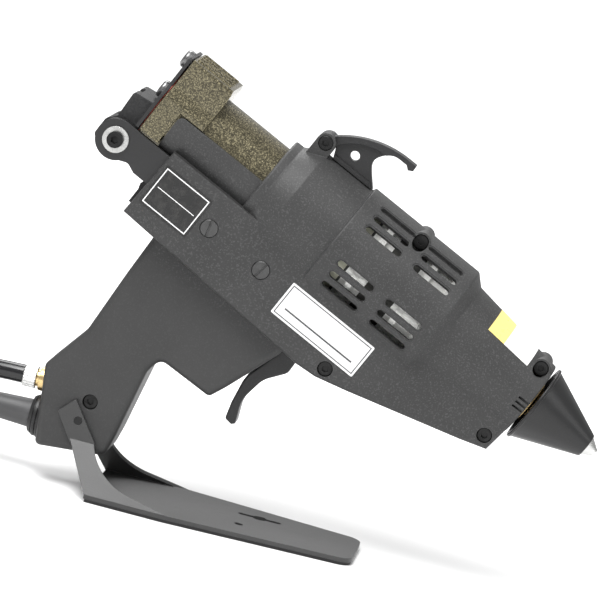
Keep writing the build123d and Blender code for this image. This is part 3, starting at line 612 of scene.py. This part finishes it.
def strap(name, node, mean_radius, turn, finish):
    """A hook-and-loop strap round one end of the hank, in place of its CAD node."""
    low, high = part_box(node)
    wide, tall = sizes_of_strap(node)
    arc = HANK - Vector((HANK_LONG / 2, 0, 0))
    centre = arc + Matrix.Rotation(turn, 3, "Z") @ Vector((0, mean_radius, 0))
    centre.z = (low.z + high.z) / 2
    place = Matrix.Translation(centre) @ Matrix.Rotation(turn, 4, "Z")
    bm = bmesh.new()
    outer = Matrix.Diagonal((STRAP_WIDTH, wide, tall, 1))
    bmesh.ops.create_cube(bm, size=1, matrix=outer)
    ends = [f for f in bm.faces if abs(f.normal.x) > 0.9]
    bmesh.ops.delete(bm, geom=ends, context="FACES_ONLY")
    corners = [e for e in bm.edges if abs((e.verts[0].co - e.verts[1].co).x) > 0.001]
    bmesh.ops.bevel(bm, geom=corners, offset=0.004, affect="EDGES", segments=6, profile=0.5,
                    material=-1)
    bmesh.ops.recalc_face_normals(bm, faces=bm.faces)
    bmesh.ops.solidify(bm, geom=bm.faces[:], thickness=sizes().strap)
    tab_place = Matrix.Translation((0, 0, tall / 2 + 0.0001))
    rounded_box(bm, (STRAP_WIDTH / MM * 0.94, wide / MM * 0.55, 1.0), tab_place, 0.4)
    bmesh.ops.transform(bm, matrix=place, verts=bm.verts)
    piece = new_object(name, mesh_from(bm, name), finish)
    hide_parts(node)
    return piece


def sizes_of_strap(node):
    """Outside width and height of a strap round a coil's turns."""
    wide, tall = STRAP_OVER[node]
    return wide + 2.6 * MM, tall + 2.0 * MM


# ------------------------------------------------------------------ operators
class GlueGunOperator:
    """What the operators share: one register option."""

    bl_options = {"REGISTER", "UNDO"}


class GLUEGUN_OT_camera(GlueGunOperator, bpy.types.Operator):
    """Adds the camera, which looks at the gun's right side with the barrel pointing down"""

    bl_idname = "glue_gun.camera"
    bl_label = "Camera"

    def execute(self, context):
        turn = GUN.to_3x3()
        across = turn @ Vector((0, math.sin(VIEW_TILT), math.cos(VIEW_TILT)))
        right = math.cos(VIEW_ROLL) * BARREL + math.sin(VIEW_ROLL) * across
        up = math.cos(VIEW_ROLL) * across - math.sin(VIEW_ROLL) * BARREL
        back = right.cross(up)
        target = gun_point(*VIEW_CENTRE) - across * VIEW_BELOW * MM
        data = bpy.data.cameras.new("camera")
        data.sensor_width = SENSOR
        data.lens = SENSOR * VIEW_DISTANCE / VIEW_WIDTH
        data.clip_start, data.clip_end = 0.05, 20
        camera = bpy.data.objects.new("camera", data)
        context.scene.collection.objects.link(camera)
        camera.matrix_world = (Matrix.Translation(target + back * VIEW_DISTANCE)
                               @ Matrix((right, up, back)).transposed().to_4x4())
        context.scene.camera = camera
        return {"FINISHED"}


class GLUEGUN_OT_stage(GlueGunOperator, bpy.types.Operator):
    """Adds a pale floor, soft studio lights and a pale surround"""

    bl_idname = "glue_gun.stage"
    bl_label = "Floor and lights"

    def execute(self, context):
        context.scene.view_settings.view_transform = "Standard"
        bm = bmesh.new()
        bmesh.ops.create_grid(bm, x_segments=2, y_segments=2, size=6)
        mesh = bpy.data.meshes.new("floor")
        bm.to_mesh(mesh)
        bm.free()
        floor = bpy.data.objects.new("floor", mesh)
        context.scene.collection.objects.link(floor)
        paper = Finish("floor_paper", (0.88, 0.88, 0.88), 0.75)
        paper.set("Base Color", paper.tint(paper.noise(400, 2.0), (0.90, 0.90, 0.90)))
        mesh.materials.append(paper.material)
        world = bpy.data.worlds.new("surround")
        context.scene.world = world
        world.use_nodes = True
        surround = world.node_tree.nodes["Background"]
        surround.inputs["Color"].default_value = (1.0, 1.0, 1.0, 1)
        surround.inputs["Strength"].default_value = 0.5
        sky = bpy.data.lights.new("overhead", "SUN")
        sky.energy = 2.6
        sky.angle = math.radians(40)
        overhead = bpy.data.objects.new("overhead", sky)
        context.scene.collection.objects.link(overhead)
        overhead.rotation_euler = Vector((0.35, 0.5, -1.3)).to_track_quat("-Z", "Y").to_euler()
        lights = (("key", (-0.35, -0.8, 1.6), 0.8, 16), ("side", (1.5, -0.6, 0.9), 0.8, 6),
                  ("rim", (-0.3, 1.2, 1.5), 1.0, 18))
        for name, place, size, power in lights:
            data = bpy.data.lights.new(name, "AREA")
            data.size = size
            data.energy = power
            light = bpy.data.objects.new(name, data)
            context.scene.collection.objects.link(light)
            light.location = place
            aim = Vector((0, 0, 0.12)) - Vector(place)
            light.rotation_euler = aim.to_track_quat("-Z", "Y").to_euler()
        return {"FINISHED"}


class GLUEGUN_OT_mains_lead(GlueGunOperator, bpy.types.Operator):
    """Makes the mains lead: out of its boot, down to the bench, coiled, and into its plug"""

    bl_idname = "glue_gun.mains_lead"
    bl_label = "Mains lead"

    def execute(self, context):
        radii = [MAINS_RADIUS - ring * MAINS_DIAMETER for ring in range(3)]
        low, high = MAINS_LEVELS
        rings = [(r, low) for r in radii] + [(r, high) for r in reversed(radii)]
        hank = hank_points(rings, -1, 5.5, (PLUG_RADIUS, PLUG_LEVEL))
        plug_side = HANK + Vector((0.004, PLUG_RADIUS, PLUG_LEVEL))
        sheath = rubber("mains_sheath", colours().rubber, 0.5)
        lead = cord_object("mains_cable", [*MAINS_ROUTE, *hank, tuple(plug_side)],
                           sizes().lead, sheath)
        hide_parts("mains_lead", "mains_coil")
        tie = strap("mains_strap", "lead_tie", radii[1], math.radians(135),
                    woven("mains_strap_weave", (0.012, 0.012, 0.013)))
        return {"FINISHED"}


class GLUEGUN_OT_air_hose(GlueGunOperator, bpy.types.Operator):
    """Makes the air hose: out of its ferrule, down to the bench, coiled, and to its nipple"""

    bl_idname = "glue_gun.air_hose"
    bl_label = "Air hose"

    def execute(self, context):
        radii = [HOSE_RADIUS, HOSE_RADIUS - HOSE_DIAMETER]
        low, high = HOSE_LEVELS
        rings = [(r, low) for r in radii] + [(r, high) for r in reversed(radii)]
        hank = hank_points(rings, 1, 3.5)
        glossy = rubber("hose_skin", colours().hose, 0.2, 1.4)
        hose = cord_object("air_line", HOSE_ROUTE + hank + HOSE_END_ROUTE, sizes().hose,
                           glossy)
        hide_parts("air_hose", "hose_coil", "hose_end")
        tie = strap("hose_strap", "hose_tie", HOSE_RADIUS - HOSE_DIAMETER / 2,
                    math.radians(45), woven("hose_strap_weave", (0.012, 0.012, 0.013)))
        ferrule = crimped_ferrule()
        return {"FINISHED"}


def crimped_ferrule():
    """The ferrule on the hose's far end, with its crimp grooves."""
    low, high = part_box("hose_ferrule")
    radius = (high.y - low.y) / 2 / MM
    length = (high.x - low.x) / MM
    place = Matrix.Translation((low.x, (low.y + high.y) / 2, (low.z + high.z) / 2))
    profile = [(0, 5.3), (0, radius - 0.4), (0.4, radius)]
    for groove in range(3):
        x = 4.0 + groove * 5.0
        profile += [(x, radius), (x + 0.6, radius - 0.5), (x + 2.0, radius - 0.5),
                    (x + 2.6, radius)]
    profile += [(length - 0.4, radius), (length, radius - 0.4), (length, 4.6)]
    bm = bmesh.new()
    turned(bm, profile, place)
    steel = machined("crimped_steel", colours().steel, 0.25, (1, 0, 0), 0.6, 0.3)
    piece = new_object("crimped_ferrule", mesh_from(bm, "crimped_ferrule", 25), steel)
    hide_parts("hose_ferrule")
    return piece


class GLUEGUN_OT_air_ferrule(GlueGunOperator, bpy.types.Operator):
    """Makes the knurled ferrule where the air hose leaves the handle"""

    bl_idname = "glue_gun.air_ferrule"
    bl_label = "Knurled ferrule"

    def execute(self, context):
        low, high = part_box("air_ferrule")
        radius = (high.y - low.y) / 2
        length = high.x - low.x
        bm = bmesh.new()
        ribs = 30
        made = bmesh.ops.create_circle(bm, cap_ends=False, segments=4 * ribs, radius=radius)
        for number, vert in enumerate(made["verts"]):
            if number % 4 >= 2:
                vert.co *= 1 - sizes().knurl / radius
        rim = bm.edges[:]
        chamfer = 0.5 * MM
        for rise, shrink in ((chamfer, 1), (length - 2 * chamfer, 1), (chamfer, 0.94),
                             (0, 0.80), (-length, 1), (0, 0.94 / 0.80)):
            grown = bmesh.ops.extrude_edge_only(bm, edges=rim)
            verts = [g for g in grown["geom"] if isinstance(g, bmesh.types.BMVert)]
            rim = [g for g in grown["geom"] if isinstance(g, bmesh.types.BMEdge)]
            bmesh.ops.translate(bm, verts=verts, vec=(0, 0, rise))
            bmesh.ops.scale(bm, verts=verts, vec=(shrink, shrink, 1))
        bmesh.ops.scale(bm, verts=made["verts"], vec=(0.94, 0.94, 1))
        turn = Matrix.Rotation(math.pi / 2, 4, "Y")
        centre = Matrix.Translation((low.x, (low.y + high.y) / 2, (low.z + high.z) / 2))
        bmesh.ops.transform(bm, matrix=centre @ turn, verts=bm.verts)
        bmesh.ops.remove_doubles(bm, verts=bm.verts, dist=1e-5)
        bright = machined("knurled_nickel", (0.72, 0.72, 0.71), 0.2, (1, 0, 0), 0.6, 0.2)
        piece = new_object("knurled_ferrule", mesh_from(bm, "knurled_ferrule", 20), bright)
        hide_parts("air_ferrule")
        return {"FINISHED"}


class GLUEGUN_OT_nose_label(GlueGunOperator, bpy.types.Operator):
    """Makes the plain two-tone label that is stuck over the top of the nose"""

    bl_idname = "glue_gun.nose_label"
    bl_label = "Nose label"

    def execute(self, context):
        rear, front = -47.0, -17.0
        rear_r, front_r = nose_radius(rear), nose_radius(front)
        film = sizes().film / MM
        bm = bmesh.new()
        place = GUN @ Matrix.Rotation(math.radians(-22), 4, "X")
        ends = [bm.verts.new(place @ Vector((x * MM, 0, (r + film) * MM)))
                for x, r in ((rear, rear_r), (front, front_r))]
        edge = bm.edges.new(ends)
        bmesh.ops.spin(bm, geom=[*ends, edge], cent=GUN_ORIGIN, axis=BARREL,
                       angle=math.radians(70), steps=20, use_merge=False)
        bmesh.ops.recalc_face_normals(bm, faces=bm.faces)
        outward = sum((f.normal.dot(f.calc_center_median() - GUN_ORIGIN) for f in bm.faces))
        if outward < 0:
            bmesh.ops.reverse_faces(bm, faces=bm.faces)
        bmesh.ops.solidify(bm, geom=bm.faces[:], thickness=sizes().film * 0.8)
        film_look = Finish("nose_label_film", (0.82, 0.82, 0.80), 0.3)
        band = film_look.along(BARREL) < (rear + 12)
        film_look.set("Base Color", film_look.tint(band, (0.80, 0.66, 0.22)))
        film_look.set("Roughness", film_look.noise(6, 3.0) * 0.15 + 0.22)
        new_object("nose_label", mesh_from(bm, "nose_label", 50), film_look.material)
        return {"FINISHED"}


def nose_radius(x):
    """Radius of the nose at a place along the barrel, in millimetres."""
    rear_x, rear_r, front_x, front_r = -64.0, 32.2, -2.3, 24.0
    return rear_r + (front_r - rear_r) * (x - rear_x) / (front_x - rear_x)


class GLUEGUN_OT_spring(GlueGunOperator, bpy.types.Operator):
    """Makes the valve's return spring, at one fixed length"""

    bl_idname = "glue_gun.valve_spring"
    bl_label = "Valve spring"

    def execute(self, context):
        length, turns, radius, wire = 10.6, 4.4, 3.9, 0.4
        steps = 100
        place = GUN @ Matrix.Translation(Vector((-152.3, 0, -86)) * MM)
        bm = bmesh.new()
        section = Matrix.Translation((0, 0, radius * MM)) @ Matrix.Rotation(math.pi / 2, 4, "X")
        bmesh.ops.create_circle(bm, cap_ends=False, segments=8, radius=wire * MM,
                                matrix=place @ section)
        bmesh.ops.spin(bm, geom=bm.verts[:] + bm.edges[:], cent=place.translation,
                       axis=BARREL, dvec=BARREL * (length * MM / steps),
                       angle=math.tau * turns, steps=steps, use_merge=False)
        bmesh.ops.holes_fill(bm, edges=[e for e in bm.edges if e.is_boundary], sides=8)
        steel = machined("spring_steel", colours().steel, 0.3, BARREL, 0.4, 0.3)
        piece = new_object("return_spring", mesh_from(bm, "return_spring", 60), steel)
        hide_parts("valve_spring")
        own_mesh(piece)
        return {"FINISHED"}


class GLUEGUN_OT_plug_grips(GlueGunOperator, bpy.types.Operator):
    """Adds the finger grips of the plug and the ribs of its sleeve"""

    bl_idname = "glue_gun.plug_grips"
    bl_label = "Plug grips"

    def execute(self, context):
        low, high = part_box("mains_plug")
        middle_y = (low.y + high.y) / 2
        bm = bmesh.new()
        for side in (-1, 1):
            for rib in range(5):
                x = high.x - 0.016 - rib * 0.0045
                y = middle_y + side * (high.y - low.y) / 2
                place = Matrix.Translation((x, y - side * 0.0009, low.z + 0.0105))
                rounded_box(bm, (2.2, 2.0, 14), place, 0.8)
        sleeve = Matrix.Translation((low.x, middle_y, PLUG_LEVEL))
        for rib in range(6):
            x = 3.0 + rib * 4.4
            base = 4.9 + 2.1 * (x + 1) / 32
            turned(bm, [(x - 1, base - 0.3), (x - 0.8, base + 0.55), (x + 0.8, base + 0.65),
                        (x + 1, base - 0.3)], sleeve, 32)
        skin = rubber("plug_grip_rubber", lighter(colours().rubber, 0.8), 0.5)
        new_object("plug_grips", mesh_from(bm, "plug_grips", 50), skin)
        return {"FINISHED"}


class GLUEGUN_OT_finishes(GlueGunOperator, bpy.types.Operator):
    """Gives every CAD node that stays in view its finish"""

    bl_idname = "glue_gun.finishes"
    bl_label = "Finishes"

    def execute(self, context):
        look = colours()
        trim = moulded("satin_trim", look.trim, 0.6, 0.05, 0.42)
        chassis = painted_steel("chassis_coat", look.chassis, 0.4)
        dark_screw = machined("black_oxide", (0.035, 0.035, 0.035), 0.42, LEFT, 0.5, 0.4)
        steel = machined("bright_steel", look.steel, 0.24, LEFT, 0.5, 0.4)
        brass = machined("turned_brass", look.brass, 0.25, BARREL, 0.6, 0.4)
        bronze = hammered_bronze(look.bronze)
        black = moulded("black_moulding", lighter(look.trim, 0.7), 0.5, 0.04, 0.4, 0.3)
        boot = rubber("boot_rubber", lighter(look.rubber, 1.7), 0.5)
        finishes = {
            casing_finish(look.casing): ("casing_right", "casing_left"),
            trim: ("suspension_hook", "trigger"),
            moulded("cone_plastic", lighter(look.trim, 0.65), 0.5, 0.03, 0.34):
                ("nozzle_cone",),
            chassis: ("chassis_bracket", "door_plate"),
            cast_finish("black_casting", look.chassis): ("breech_door",),
            bronze: ("loading_tube", "tube_saddle"),
            dark_screw: ("casing_screws", "pivot_bolt", "stand_nuts", "stand_studs"),
            machined("dark_slotted", (0.10, 0.10, 0.10), 0.36, ABOVE, 0.7, 0.5):
                ("frame_screws", "pivot_nut"),
            steel: ("pivot_washers", "trigger_pin"),
            machined("door_screw_steel", (0.22, 0.22, 0.22), 0.3, ABOVE, 0.6, 0.5):
                ("door_screws",),
            machined("tip_steel", lighter(look.steel, 1.1), 0.22, BARREL, 0.5, 0.35):
                ("nozzle_tip",),
            chamber_finish(look.chamber): ("melt_chamber",),
            machined("heater_steel", (0.45, 0.45, 0.44), 0.35, BARREL, 0.8, 0.6):
                ("heater_cartridges", "thermostat"),
            ceramic("insulating_ring", (0.62, 0.57, 0.47)): ("rear_insulator",
                                                            "front_insulator"),
            brass: ("nozzle_body", "air_fitting", "hose_nipple", "plug_pins"),
            machined("valve_metal", (0.42, 0.42, 0.43), 0.34, BARREL, 0.7, 0.4):
                ("valve_body", "valve_plunger"),
            rubber("nylon_pipe", (0.05, 0.16, 0.42), 0.3): ("supply_pipe", "feed_pipe"),
            circuit_finish((0.02, 0.14, 0.06)): ("control_board",),
            black: ("terminal_block", "switch_bezel", "power_switch", "mains_plug",
                    "cable_gland", "gland_nut"),
            painted_steel("stand_coat", look.stand, 0.38): ("bench_stand",),
            rubber("pad_rubber", lighter(look.rubber, 0.6), 0.7): ("stand_pad",),
            boot: ("cable_boot",),
            rubber("door_seal_silicone", (0.34, 0.06, 0.04), 0.5): ("door_seal",),
            label_finish("name_label_film", (-119.2, -31, -38.2), 58.8, 21.4,
                         (0.74, 0.74, 0.74), (0.05, 0.05, 0.055), NAME_BARS): ("name_label",),
            label_finish("rating_label_film", (-229, -31, -34.2), 32.8, 26.2,
                         (0.008, 0.008, 0.008), (0.85, 0.85, 0.85), RATING_BARS):
                ("rating_label",),
        }
        for finish, nodes in finishes.items():
            for node in nodes:
                mesh = frame["nodes"][node].data
                mesh.materials.clear()
                mesh.materials.append(finish)
        return {"FINISHED"}


# ------------------------------------------------------------------ panel and registration
class GLUEGUN_PT_panel(bpy.types.Panel):
    """Lists what can be changed and what can be added"""

    bl_label = "Glue gun"
    bl_space_type = "VIEW_3D"
    bl_region_type = "UI"
    bl_category = "Glue gun"

    def draw(self, context):
        for group in (context.scene.glue_gun_colours, context.scene.glue_gun_sizes):
            box = self.layout.box()
            for key in group.__annotations__:
                box.prop(group, key)
        for operator in OPERATORS:
            self.layout.operator(operator.bl_idname)


OPERATORS = (GLUEGUN_OT_camera, GLUEGUN_OT_mains_lead, GLUEGUN_OT_air_hose,
             GLUEGUN_OT_air_ferrule, GLUEGUN_OT_nose_label, GLUEGUN_OT_spring,
             GLUEGUN_OT_plug_grips, GLUEGUN_OT_finishes, GLUEGUN_OT_stage)
CLASSES = (GlueGunColours, GlueGunSizes, *OPERATORS, GLUEGUN_PT_panel)


def register():
    for cls in CLASSES:
        bpy.utils.register_class(cls)
    bpy.types.Scene.glue_gun_colours = PointerProperty(type=GlueGunColours)
    bpy.types.Scene.glue_gun_sizes = PointerProperty(type=GlueGunSizes)


def unregister():
    del bpy.types.Scene.glue_gun_sizes
    del bpy.types.Scene.glue_gun_colours
    for cls in reversed(CLASSES):
        bpy.utils.unregister_class(cls)


def main():
    register()
    for operator in OPERATORS:
        group, name = operator.bl_idname.split(".")
        getattr(getattr(bpy.ops, group), name)()


if __name__ == "__main__":
    main()
